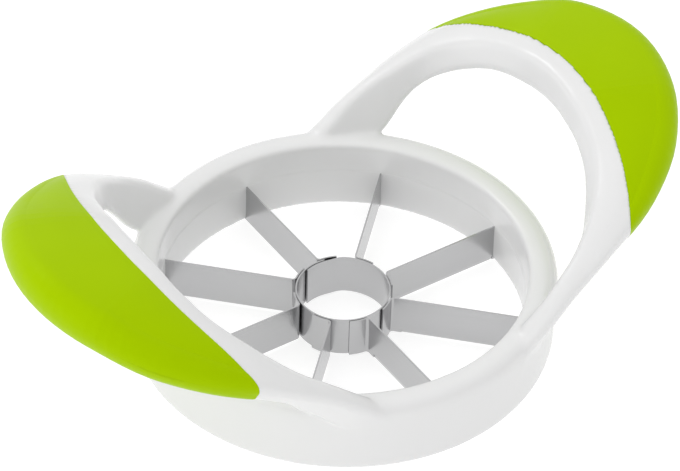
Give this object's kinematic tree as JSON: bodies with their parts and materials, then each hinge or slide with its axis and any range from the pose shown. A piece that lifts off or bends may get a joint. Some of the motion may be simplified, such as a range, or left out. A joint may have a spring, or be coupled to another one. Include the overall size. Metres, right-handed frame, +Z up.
{
  "type": "apple slicer wedger press",
  "caption": "Round press with two arched grip handles that cores an apple and cuts it into wedges in one push.",
  "frame": {"origin": "centre of the ring's base, on the surface it rests on", "axes": "+Z up along the corer's axis, X through both handles, Y across them"},
  "size_m": [0.1802, 0.1072, 0.0586],
  "materials": {
    "white_plastic": "satin white ABS",
    "lime_grip": "soft lime green TPE",
    "steel": "satin stainless steel"
  },
  "bodies": {
    "root": {"frame": "white_plastic", "grip_right": "lime_grip", "grip_left": "lime_grip", "corer_ring": "steel", "blade_1": "steel", "blade_2": "steel", "blade_3": "steel", "blade_4": "steel", "blade_5": "steel", "blade_6": "steel", "blade_7": "steel", "blade_8": "steel"}
  },
  "joints": []
}
